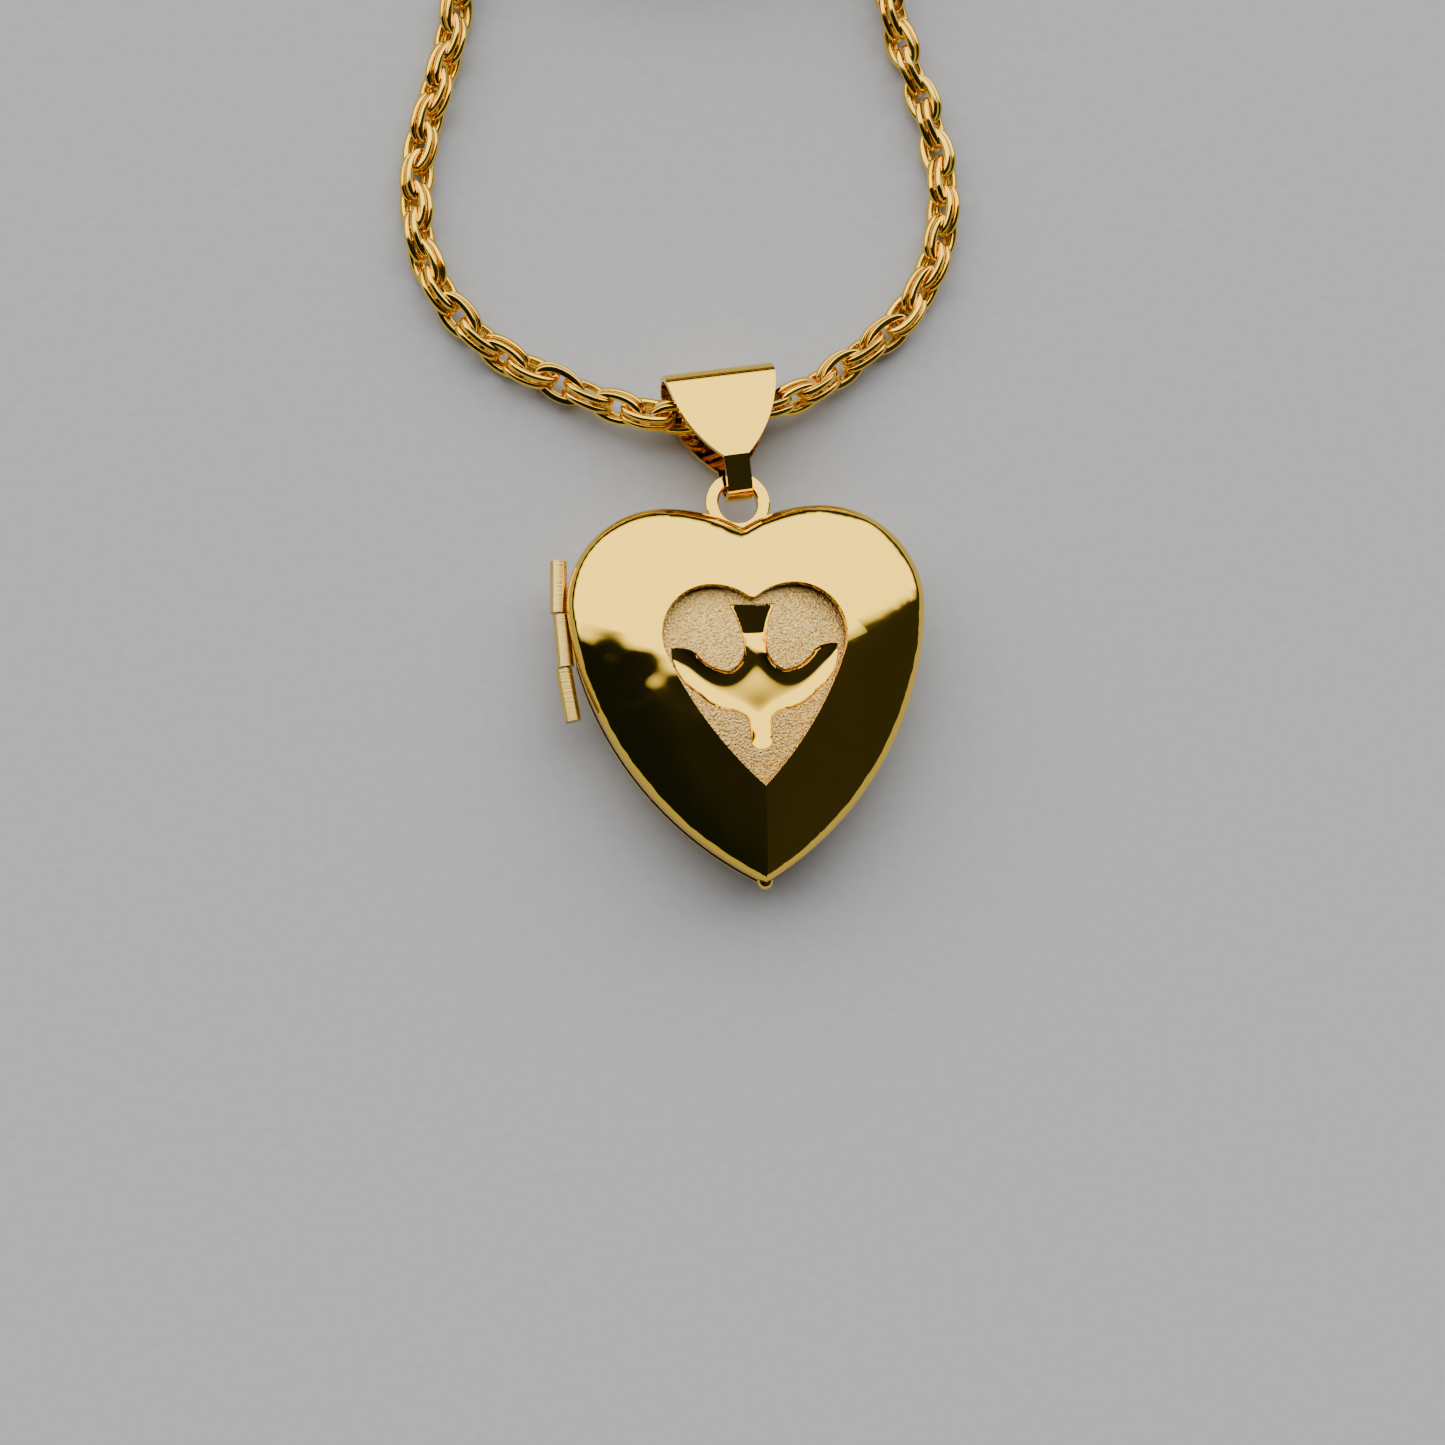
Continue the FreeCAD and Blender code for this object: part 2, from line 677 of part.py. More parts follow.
def belt_sketch(name, eye, fold):
    """The bail from the side: eye, back, fold, face and the strap that bends from the face to the eye."""
    sketch = document.addObject("Sketcher::SketchObject", name)
    small, large, length = evaluate(eye), evaluate(fold), size("bail_length")
    crease = Vector(size("bail_waist"), large, 0)
    slope = math.asin((large - small) / length)
    top = math.pi / 2
    low = -top - slope
    bend = math.atan2(crease.y, crease.x) + math.acos(small / crease.Length)
    apart = Vector(length, 0, 0)
    sketch.addGeometry(Part.ArcOfCircle(Part.Circle(MIDDLE, Z_AXIS, small), bend, 2 * math.pi + low), False)
    sketch.addGeometry(Part.LineSegment(unit(low) * small, apart + unit(low) * large), False)
    sketch.addGeometry(Part.ArcOfCircle(Part.Circle(apart, Z_AXIS, large), low, top), False)
    sketch.addGeometry(Part.LineSegment(apart + unit(top) * large, crease), False)
    sketch.addGeometry(Part.LineSegment(crease, unit(bend) * small), False)
    rule = Sketcher.Constraint
    start, end, centre = 1, 2, 3
    eye_arc, back_line, fold_arc, face_line, strap_line = range(5)
    origin = -1
    x_axis = -1
    sketch.addConstraint(
        [
            rule("Tangent", eye_arc, end, back_line, start),
            rule("Tangent", back_line, end, fold_arc, start),
            rule("Tangent", fold_arc, end, face_line, start),
            rule("Coincident", face_line, end, strap_line, start),
            rule("Tangent", strap_line, end, eye_arc, start),
            rule("Coincident", eye_arc, centre, origin, start),
            rule("PointOnObject", fold_arc, centre, x_axis),
            rule("Horizontal", face_line),
        ]
    )
    bind_constraint(sketch, "eye", rule("Radius", eye_arc, small), eye)
    bind_constraint(sketch, "fold", rule("Radius", fold_arc, large), fold)
    apart_rule = rule("DistanceX", origin, start, fold_arc, centre, length)
    bind_constraint(sketch, "apart", apart_rule, "Dims.bail_length")
    waist_rule = rule("DistanceX", origin, start, strap_line, start, crease.x)
    bind_constraint(sketch, "waist", waist_rule, "Dims.bail_waist")
    sketch.Placement = Placement(MIDDLE, Rotation(CYCLE_AXES, FULL_TURN / 3))
    return sketch


def bail_outline():
    """The leaf seen from the front: a narrow strap that flares with full flanks to the fold."""
    neck, half = size("bail_neck_half"), size("bail_half")
    waist, shoulder = size("bail_waist"), size("bail_shoulder")
    top = size("bail_length") + 2 * size("bail_fold_radius")
    bottom = -2 * size("bail_eye_radius")
    chord = math.hypot(half - neck, shoulder - waist)
    flank = size("bail_flank")
    bulge = flank - math.sqrt(flank**2 - (chord / 2) ** 2)
    return [
        (neck, bottom, 0.0),
        (neck, waist, bulge),
        (half, shoulder, 0.0),
        (half, top, 0.0),
        (-half, top, 0.0),
        (-half, shoulder, bulge),
        (-neck, waist, 0.0),
        (-neck, bottom, 0.0),
    ]


def make_bail():
    """A folded sheet: a wide fold over the chain, a narrow eye through the hanging ring."""
    eye, fold, thick = "Dims.bail_eye_radius", "Dims.bail_fold_radius", "Dims.bail_sheet"
    outer = belt_sketch("bail_outer", f"{eye} + {thick}", f"{fold} + {thick}")
    inner = belt_sketch("bail_inner", eye, fold)
    width = "2 * Dims.bail_half + 2 * Dims.bail_sheet"
    outer_solid = extrude("bail_outer_solid", outer, width, symmetric=True)
    inner_solid = extrude("bail_inner_solid", inner, width, symmetric=True)
    loop = combine("Cut", "bail_loop", outer_solid, inner_solid)
    leaf = outline_sketch("bail_leaf", bail_outline())
    leaf_solid = extrude("bail_leaf_solid", leaf, "4 * Dims.bail_fold_radius", symmetric=True)
    bail = combine("Common", "bail", loop, leaf_solid)
    bail.Placement = bail_place()
    return bail


# --- chain ---


def chain_path(points):
    """Straight runs joined by tangent arcs, each arc as large as its two runs allow."""
    edges = []
    radii = []
    here = points[0]
    for index in range(1, len(points) - 1):
        before, corner, after = points[index - 1], points[index], points[index + 1]
        coming = (corner - before).normalize()
        leaving = (after - corner).normalize()
        turn = coming.getAngle(leaving)
        shorter = min((corner - before).Length, (after - corner).Length)
        tangent = ARC_SHARE * shorter
        radii.append(tangent / math.tan(turn / 2))
        arc_start = corner - coming * tangent
        arc_end = corner + leaving * tangent
        inward = (leaving - coming).normalize()
        depth = radii[-1] / math.cos(turn / 2) - radii[-1]
        edges.append(Part.LineSegment(here, arc_start).toShape())
        edges.append(Part.Arc(arc_start, corner + inward * depth, arc_end).toShape())
        here = arc_end
    edges.append(Part.LineSegment(here, points[-1]).toShape())
    return Part.Wire(edges), radii


def make_chain_run(label, side, corners):
    """The chain as a plain tube from the middle of the bail to the coil; side is -1 or 1."""
    pivot = bail_place().Rotation.multVec(X_AXIS)
    leave = chain_seat() + pivot * size("chain_straight") * side
    points = [chain_seat(), leave] + [Vector(*corner) for corner in corners]
    path, radii = chain_path(points)
    radius = size("chain_radius")
    ring = Part.Wire(Part.Circle(points[0], points[1] - points[0], radius).toShape())
    shape = path.makePipeShell([ring], True, False)
    run = document.addObject("Part::Feature", label)
    run.Label = label
    run.Shape = shape
    run.Placement = Placement()
    expected = math.pi * radius**2 * path.Length
    print(label, "arc radii", [round(value, 1) for value in radii], "length", round(path.Length, 1))
    print(label, "volume over section times length", round(shape.Volume / expected, 4))
    return run


def make_chain_coil():
    """The outer shape of the turns that put the rest of the chain away."""
    base = Placement(Vector(size("coil_x"), size("coil_y"), 0), Rotation())
    outer = solid("Cylinder", "coil_outer", base, Radius="Dims.coil_outer", Height="Dims.coil_thick")
    inner = solid("Cylinder", "coil_inner", base, Radius="Dims.coil_inner", Height="Dims.coil_thick")
    return combine("Cut", "chain_coil", outer, inner)


# --- clasp ---


def torus(label, ring, wire, place, **expressions):
    return solid("Torus", label, place, Radius1=ring, Radius2=wire, **expressions)


def make_clasp_body():
    """The hollow ring of the clasp, open over the gap and slotted where the thumb nub runs."""
    half_gap = size("clasp_gap") / 2
    arc = f"{FULL_TURN} - Dims.clasp_gap"
    place = clasp_place(half_gap)
    shell = torus("clasp_shell", "Dims.clasp_radius", "Dims.clasp_tube", place, Angle3=arc)
    bore = torus("clasp_bore", "Dims.clasp_radius", "Dims.clasp_bore", clasp_place())
    tube = combine("Cut", "clasp_tube", shell, bore)
    slot_place = clasp_place(half_gap + size("nub_angle") - size("slot_margin"))
    slot_place.Base.z -= size("slot_height") / 2
    tall = "Dims.slot_height"
    angle = "Dims.bolt_travel + 2 * Dims.slot_margin"
    reach = "2 * Dims.clasp_radius"
    sector = solid("Cylinder", "slot_sector", slot_place, Radius=reach, Height=tall, Angle=angle)
    core = solid("Cylinder", "slot_core", slot_place, Radius="Dims.clasp_radius", Height=tall)
    return combine("Cut", "clasp_body", tube, combine("Cut", "clasp_slot", sector, core))


def make_clasp_bolt():
    """The curved bolt that closes the gap, with the nub that a thumbnail draws back."""
    half_gap = size("clasp_gap") / 2
    arc = "Dims.clasp_gap + Dims.bolt_inside"
    bar = torus("bolt_bar", "Dims.clasp_radius", "Dims.clasp_bolt", clasp_place(-half_gap), Angle3=arc)
    outward = Placement(MIDDLE, Rotation(Y_AXIS, QUARTER_TURN))
    nub_place = clasp_place(half_gap + size("nub_angle")) * outward
    nub_place.Base = nub_place.multVec(Vector(0, 0, size("clasp_radius")))
    nub = solid("Cylinder", "bolt_nub", nub_place, Radius="Dims.nub_radius", Height="Dims.nub_length")
    return combine("Fuse", "clasp_bolt", bar, nub)


def make_clasp_spring():
    """The coil spring behind the bolt, as its outer shape when the bolt is drawn right back."""
    bolt_end = size("clasp_gap") / 2 + size("bolt_inside") + size("bolt_travel")
    place = clasp_place(bolt_end + size("spring_rest"))
    ring, arc = "Dims.clasp_radius", "Dims.spring_length"
    outer = torus("spring_outer", ring, "Dims.spring_outer", place, Angle3=arc)
    inner = torus("spring_inner", ring, "Dims.spring_inner", place, Angle3=arc)
    return combine("Cut", "clasp_spring", outer, inner)


def make_clasp_rings():
    """The upright eye on the clasp, the jump ring through it, and the ring at the chain's other end."""
    place = clasp_place(HALF_TURN)
    eye_reach = size("clasp_radius") + size("clasp_tube") + size("clasp_eye") + size("clasp_eye_wire")
    eye_place = Placement(place.multVec(Vector(eye_reach, 0, 0)), place.Rotation)
    upright = eye_place * Placement(MIDDLE, Rotation(X_AXIS, QUARTER_TURN))
    jump_place = Placement(place.multVec(Vector(eye_reach + size("jump_ring"), 0, 0)), place.Rotation)
    end_place = Placement(Vector(size("end_ring_x"), size("end_ring_y"), size("end_wire")), Rotation())
    return [
        torus("clasp_eye", "Dims.clasp_eye", "Dims.clasp_eye_wire", upright),
        torus("clasp_jump_ring", "Dims.jump_ring", "Dims.jump_wire", jump_place),
        torus("chain_end_ring", "Dims.end_ring", "Dims.end_wire", end_place),
    ]


# --- build, check and export ---


def check(sub_parts):
    document.recompute()
    along = bail_place().Rotation.multVec(X_AXIS)
    print("pivots: chain seat", chain_seat(), "eye", eye_centre(), "along", along)
    hinge = hinge_place()
    print("hinge:", hinge.Base, "along", hinge.Rotation.multVec(Z_AXIS), "clasp:", clasp_place().Base)
    for item in document.Objects:
        if "Invalid" in item.State or "Error" in item.State:
            raise ValueError(f"{item.Label} failed: {item.State}")
    for part in sub_parts:
        if part.Shape.isNull() or not part.Shape.isValid():
            raise ValueError(f"{part.Label} has no valid shape")
        print(f"{part.Label}: {part.Shape.Volume:.3f} mm3, {len(part.Shape.Solids)} solid")


def export(sub_parts):
    os.makedirs(PARTS_FOLDER, exist_ok=True)
    for part in sub_parts:
        part.Shape.exportStep(f"{PARTS_FOLDER}/{part.Label}.step")


def build():
    return [
        make_back_shell(),
        make_rim("back"),
        *make_photo_insert("back"),
        make_front_shell(),
        make_emblem_plate(),
        make_rim("front"),
        *make_photo_insert("front"),
        make_thumb_catch(),
        *make_hinge(),
        make_hanging_ring(),
        make_bail(),
        make_chain_run("chain_left_run", -1, LEFT_ROUTE),
        make_chain_run("chain_right_run", 1, RIGHT_ROUTE),
        make_chain_coil(),
        make_clasp_body(),
        make_clasp_bolt(),
        make_clasp_spring(),
        *make_clasp_rings(),
    ]


finished = build()
check(finished)
export(finished)
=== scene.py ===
"""A gold heart locket on its paired-link chain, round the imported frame. In metres, or mm where said."""
import json
import math
import random

import bpy
import numpy as np
from mathutils import Matrix, Vector


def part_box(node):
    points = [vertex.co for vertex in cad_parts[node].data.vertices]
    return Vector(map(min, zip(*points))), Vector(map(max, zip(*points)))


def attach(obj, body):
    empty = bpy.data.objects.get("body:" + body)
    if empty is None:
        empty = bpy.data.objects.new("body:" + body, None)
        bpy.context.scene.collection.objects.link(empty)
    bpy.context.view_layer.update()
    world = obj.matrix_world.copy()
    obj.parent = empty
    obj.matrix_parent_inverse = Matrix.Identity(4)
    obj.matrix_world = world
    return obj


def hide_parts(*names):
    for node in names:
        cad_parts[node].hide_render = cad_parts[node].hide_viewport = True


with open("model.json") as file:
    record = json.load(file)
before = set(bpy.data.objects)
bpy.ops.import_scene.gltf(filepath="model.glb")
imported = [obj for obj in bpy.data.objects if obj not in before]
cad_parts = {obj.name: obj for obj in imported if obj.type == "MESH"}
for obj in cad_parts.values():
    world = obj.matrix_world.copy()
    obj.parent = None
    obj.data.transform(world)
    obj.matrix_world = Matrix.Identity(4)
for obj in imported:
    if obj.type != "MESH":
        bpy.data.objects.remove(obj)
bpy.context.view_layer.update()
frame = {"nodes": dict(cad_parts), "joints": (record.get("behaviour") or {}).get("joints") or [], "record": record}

MM = 0.001
nodes = frame["nodes"]
scene = bpy.context.scene
random.seed(7)


def add_piece(name, verts, faces, material, smooth=True):
    """A mesh object in the scene."""
    mesh = bpy.data.meshes.new(name)
    mesh.from_pydata(verts, [], faces)
    mesh.polygons.foreach_set("use_smooth", [smooth] * len(mesh.polygons))
    mesh.materials.append(material)
    piece = bpy.data.objects.new(name, mesh)
    scene.collection.objects.link(piece)
    return piece


# --- camera: above the locket, a little to its hinge side and towards its tip ---

VIEW_DISTANCE = 175 * MM
VIEW_FROM_HINGE = math.radians(9)
VIEW_FROM_TIP = math.radians(11)
# where the heart is in the picture: turned a little, right of the middle and above it
HEART_LEAN = math.radians(3.8)
HEART_RIGHT = 1.52 * MM
HEART_ABOVE = 1.41 * MM
# width of the view at the locket's distance
FIELD = 79.8 * MM
SENSOR = 36.0
CLIP_START = 5 * MM
CLIP_END = 5.0


def make_camera():
    camera = bpy.data.objects.new("camera", bpy.data.cameras.new("camera"))
    scene.collection.objects.link(camera)
    back = Vector((-math.tan(VIEW_FROM_HINGE), -math.tan(VIEW_FROM_TIP), 1)).normalized()
    up = Vector((0, 1, 0))
    up = (up - back * up.dot(back)).normalized()
    up = Matrix.Rotation(-HEART_LEAN, 3, back) @ up
    right = up.cross(back)
    middle = (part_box("back_rim")[0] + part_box("back_rim")[1]) / 2
    aim = Vector((0, 0, middle.z)) - right * HEART_RIGHT - up * HEART_ABOVE
    turn = Matrix((right, up, back)).transposed().to_4x4()
    camera.matrix_world = Matrix.Translation(aim + back * VIEW_DISTANCE) @ turn
    camera.data.sensor_width = SENSOR
    camera.data.lens = SENSOR * VIEW_DISTANCE / FIELD
    camera.data.clip_start = CLIP_START
    camera.data.clip_end = CLIP_END
    scene.camera = camera


# --- materials ---


def new_material(name, metallic=0.0):
    """A material, its node tree and its shader."""
    material = bpy.data.materials.new(name)
    material.use_nodes = True
    tree = material.node_tree
    shader = next(n for n in tree.nodes if n.type == "BSDF_PRINCIPLED")
    shader.inputs["Metallic"].default_value = metallic
    return material, tree, shader


def add_node(tree, kind, **inputs):
    node = tree.nodes.new(kind)
    for name, value in inputs.items():
        node.inputs[name].default_value = value
    return node


def object_coordinates(tree, scale=(1, 1, 1)):
    place = tree.nodes.new("ShaderNodeTexCoord")
    mapping = add_node(tree, "ShaderNodeMapping", Scale=scale)
    tree.links.new(place.outputs["Object"], mapping.inputs["Vector"])
    return mapping.outputs["Vector"]


def ramp(tree, value, low, high, start=0.0, end=1.0):
    """value from start to end becomes low to high, and stays there beyond them."""
    node = tree.nodes.new("ShaderNodeMapRange")
    node.inputs["From Min"].default_value = start
    node.inputs["From Max"].default_value = end
    node.inputs["To Min"].default_value = low
    node.inputs["To Max"].default_value = high
    tree.links.new(value, node.inputs["Value"])
    return node.outputs["Result"]


def noise(tree, vector, scale, detail=3.0, roughness=0.5):
    node = add_node(tree, "ShaderNodeTexNoise", Scale=scale, Detail=detail, Roughness=roughness)
    tree.links.new(vector, node.inputs["Vector"])
    return node.outputs["Fac"]


def bump(tree, shader, height, distance, strength=1.0, below=None):
    """Relief on the shader, laid over the relief below it if there is one."""
    node = add_node(tree, "ShaderNodeBump", Strength=strength, Distance=distance)
    tree.links.new(height, node.inputs["Height"])
    if below:
        tree.links.new(below, node.inputs["Normal"])
    tree.links.new(node.outputs["Normal"], shader.inputs["Normal"])
    return node.outputs["Normal"]


def combine(tree, operation, first, second):
    """One sum on two values, each a socket or a number."""
    node = tree.nodes.new("ShaderNodeMath")
    node.operation = operation
    for value, socket in ((first, node.inputs[0]), (second, node.inputs[1])):
        if isinstance(value, (int, float)):
            socket.default_value = value
        else:
            tree.links.new(value, socket)
    return node.outputs["Value"]


def blend_color(tree, share, first, second):
    """A mix of two colours, each given as three numbers or as another node's output."""
    mix = tree.nodes.new("ShaderNodeMix")
    mix.data_type = "RGBA"
    sockets = [s for s in mix.inputs if s.type == "RGBA"]
    for socket, color in zip(sockets, (first, second)):
        if isinstance(color, tuple):
            socket.default_value = (*color, 1)
        else:
            tree.links.new(color, socket)
    tree.links.new(share, mix.inputs["Factor"])
    return next(s for s in mix.outputs if s.type == "RGBA")


def tint(tree, shader, share, dark, light):
    tree.links.new(blend_color(tree, share, dark, light), shader.inputs["Base Color"])


# A GRAIN is a noise scale, in cells per metre. A RANGE is the stretch of noise values that a ramp spreads.
# SHARES are the least and the most that a roughness is multiplied by.

GOLD_DEEP = (0.94, 0.585, 0.045)
GOLD_PALE = (1.0, 0.665, 0.085)
CLOUD_GRAIN = 180.0
SMEAR_GRAIN = 420.0
SMEAR_RANGE = (0.35, 0.7)
SMEAR_SHARES = (0.5, 1.8)
SWELL_GRAIN = 190.0
SWELL_DEPTH = 0.10 * MM
DENT_GRAIN = 330.0
DENT_RANGE = (0.42, 0.80)
DENT_DEPTH = 0.05 * MM
HAIRLINE_GRAIN = (2600, 300, 900)
HAIRLINE_DEPTH = 0.0004 * MM
HAIRLINE_STRENGTH = 0.6

SAND_DARK = (0.46, 0.22, 0.04)
SAND_LIGHT = (1.0, 0.74, 0.27)
SAND_GRAIN = 7500.0
SAND_RANGE = (0.32, 0.68)
SAND_DEPTH = 0.09 * MM
SAND_ROUGHNESS = 0.28
DOVE_ROUGHNESS = 0.05
DOVE_CLOUD_GRAIN = 300.0

BRUSHED_DARK = (0.64, 0.41, 0.09)
BRUSHED_LIGHT = (0.94, 0.69, 0.19)
BRUSHED_GRAIN = (300, 9000, 300)
BRUSHED_ROUGHNESS = (0.18, 0.42)
BRUSHED_DEPTH = 0.02 * MM
BRUSHED_STRENGTH = 0.7

STEEL = (0.62, 0.60, 0.56)
CARD = (0.80, 0.77, 0.68)
SPECK_SHADE = 0.9
SPECK_SHARES = (0.8, 1.2)
SPECK_STRENGTH = 0.5

CLEAR = (0.98, 0.99, 0.97, 1)
CLEAR_INDEX = 1.48
HAZE_GRAIN = 300.0
HAZE_ROUGHNESS = (0.02, 0.07)


def make_polished_gold(name, roughness=0.05, scratches=1.0, dented=False):
    """Mirror gold: cloudy colour, smears in the gloss, hairline scratches, and dents where asked."""
    material, tree, shader = new_material(name, metallic=1.0)
    place = object_coordinates(tree)
    tint(tree, shader, noise(tree, place, CLOUD_GRAIN), GOLD_DEEP, GOLD_PALE)
    smear = noise(tree, place, SMEAR_GRAIN, detail=5.0)
    gloss, matt = (roughness * share for share in SMEAR_SHARES)
    tree.links.new(ramp(tree, smear, gloss, matt, *SMEAR_RANGE), shader.inputs["Roughness"])
    below = None
    if dented:
        below = bump(tree, shader, noise(tree, place, SWELL_GRAIN, detail=2.0), SWELL_DEPTH)
        dents = ramp(tree, noise(tree, place, DENT_GRAIN, detail=1.0), 0, 1, *DENT_RANGE)
        below = bump(tree, shader, dents, DENT_DEPTH, below=below)
    hairlines = noise(tree, object_coordinates(tree, HAIRLINE_GRAIN), 1.0, detail=2.0)
    bump(tree, shader, hairlines, HAIRLINE_DEPTH * scratches, HAIRLINE_STRENGTH, below=below)
    return material


def make_emblem_gold():
    """Sand-blasted ground of fine bright pits, and a polished dove where the mesh's polish mask is 1."""
    material, tree, shader = new_material("emblem_gold", metallic=1.0)
    place = object_coordinates(tree)
    mask = tree.nodes.new("ShaderNodeAttribute")
    mask.attribute_name = "polish"
    polish = mask.outputs["Fac"]
    grain = noise(tree, place, SAND_GRAIN, roughness=0.6)
    ground = blend_color(tree, ramp(tree, grain, 0, 1, *SAND_RANGE), SAND_DARK, SAND_LIGHT)
    bright = blend_color(tree, noise(tree, place, DOVE_CLOUD_GRAIN), GOLD_DEEP, GOLD_PALE)
    tint(tree, shader, polish, ground, bright)
    rough = ramp(tree, polish, SAND_ROUGHNESS, DOVE_ROUGHNESS)
    tree.links.new(rough, shader.inputs["Roughness"])
    pits = combine(tree, "MULTIPLY", grain, ramp(tree, polish, 1.0, 0.0))
    bump(tree, shader, pits, SAND_DEPTH)
    return material


def make_brushed_gold():
    """Fine lines across the hinge barrels."""
    material, tree, shader = new_material("brushed_gold", metallic=1.0)
    lines = noise(tree, object_coordinates(tree, BRUSHED_GRAIN), 1.0)
    tint(tree, shader, lines, BRUSHED_DARK, BRUSHED_LIGHT)
    tree.links.new(ramp(tree, lines, *BRUSHED_ROUGHNESS), shader.inputs["Roughness"])
    bump(tree, shader, lines, BRUSHED_DEPTH, BRUSHED_STRENGTH)
    return material


def make_plain(name, color, roughness, metallic, grain, depth):
    """One colour with a fine speck in its shade, gloss and surface."""
    material, tree, shader = new_material(name, metallic)
    speck = noise(tree, object_coordinates(tree), grain)
    darker = tuple(channel * SPECK_SHADE for channel in color)
    tint(tree, shader, speck, darker, color)
    gloss, matt = (roughness * share for share in SPECK_SHARES)
    tree.links.new(ramp(tree, speck, gloss, matt), shader.inputs["Roughness"])
    bump(tree, shader, speck, depth, SPECK_STRENGTH)
    return material


def make_clear():
    """Clear plastic with a slight haze."""
    material, tree, shader = new_material("clear_window")
    shader.inputs["Base Color"].default_value = CLEAR
    shader.inputs["Transmission Weight"].default_value = 1.0
    shader.inputs["IOR"].default_value = CLEAR_INDEX
    haze = noise(tree, object_coordinates(tree), HAZE_GRAIN)
    tree.links.new(ramp(tree, haze, *HAZE_ROUGHNESS), shader.inputs["Roughness"])
    return material


case_gold = make_polished_gold("case_gold", dented=True)
chain_gold = make_polished_gold("chain_gold", roughness=0.10, scratches=0.5)
emblem_gold = make_emblem_gold()

# a material for each slot of the record, then the pieces that differ from their slot's
FINISHES = {
    "polished_gold": make_polished_gold("polished_gold"),
    "chain_gold": chain_gold,
    "satin_gold": emblem_gold,
    "brushed_gold": make_brushed_gold(),
    "spring_steel": make_plain("spring_steel", STEEL, 0.25, metallic=1.0, grain=600.0, depth=0.002 * MM),
    "photo_card": make_plain("photo_card", CARD, 0.7, metallic=0.0, grain=2500.0, depth=0.01 * MM),
    "clear_window": make_clear(),
}
SPECIAL_FINISHES = {"front_shell": case_gold, "back_shell": case_gold}


def dress_nodes():
    slot_of = {part["node"]: part["material_slot"] for part in frame["record"]["subparts"]}
    for name, node in nodes.items():
        material = SPECIAL_FINISHES.get(name, FINISHES[slot_of[name]])
        if node.material_slots:
            node.material_slots[0].material = material
        else:
            node.data.materials.append(material)


# --- emblem plate, in mm, Y pointing from the tip of its heart to the notch ---

PLATE_SPHERE = 38.0
PLATE_THICK = 0.45
PLATE_SCALE = 1.12
LOBE_RADIUS, LOBE_X, LOBE_Y = 2.85, 2.3, 2.9
CROWN_RADIUS = 3.3
SIDE_RADIUS = 22.0
TIP_DEPTH = 5.58
NOTCH_RADIUS = 0.35
# the bowl stays shallower than the plate is thick, and rises along the tail to a share of its depth
BOWL_DEPTH = 0.41
TAIL_TOP = 4.65
TAIL_SLOPE_END = 3.05
TAIL_END_SHARE = 0.05
# walls are soft up to the first height and sharp from the second, by the sag that softens them there
WALL_HEIGHTS = (2.35, 2.8)
WALL_SAGS = (0.2, 0.05)
# width over which sand turns to polish
EDGE_BLUR = 0.05
# the grid that the dish's sag is worked out on: cell, rounds, and cells kept off its far edge
CELL = 0.08
RELAX_ROUNDS = 900
GRID_EDGE = 1.001
RINGS = 130
OUTLINE_STEP = 0.075
ARC_STEPS = 14

# Half of the dove: x, y and how far the arc after each corner stands to the right of its chord
DOVE_HALF = [
    (0.0, 4.55, 0.0),
    (1.25, 4.6, 0.12),
    (0.62, 2.35, 0.3),
    (1.5, 0.85, 0.25),
    (3.3, 1.95, -0.12),
    (4.6, 2.25, -0.4),
    (3.3, -0.3, -0.15),
    (1.75, -1.3, 0.1),
    (0.72, -1.75, 0.06),
    (0.6, -2.9, -0.2),
    (0.0, -3.5, 0.0),
]


def arc_points(start, end, bulge, count):
    """Points along an arc from start up to end, which stands off its chord by bulge to the right."""
    start, end = np.array(start), np.array(end)
    shares = np.arange(count) / count
    chord = end - start
    length = np.hypot(*chord)
    line = start + shares[:, None] * chord
    if not bulge:
        return line
    right = np.array((chord[1], -chord[0])) / length
    radius = (length**2 / 4 + bulge**2) / (2 * abs(bulge))
    reach = (shares - 0.5) * length
    lift = np.sqrt(radius**2 - reach**2) - (radius - abs(bulge))
    return line + right * (lift * math.copysign(1, bulge))[:, None]


def dove_outline():
    """The dove as points, clockwise from the middle of its tail's end."""
    half = [arc_points(a[:2], b[:2], a[2], ARC_STEPS) for a, b in zip(DOVE_HALF, DOVE_HALF[1:])]
    right = np.vstack(half)
    left = right[1:][::-1] * (-1, 1)
    return np.vstack([right, [DOVE_HALF[-1][:2]], left])


def sweep(centre, radius, first, last):
    """Points along an arc from angle first to angle last, about OUTLINE_STEP apart."""
    count = max(2, int(abs(last - first) * radius / OUTLINE_STEP))
    angles = first + (last - first) * np.arange(count) / count
    return np.array(centre) + radius * np.column_stack([np.cos(angles), np.sin(angles)])


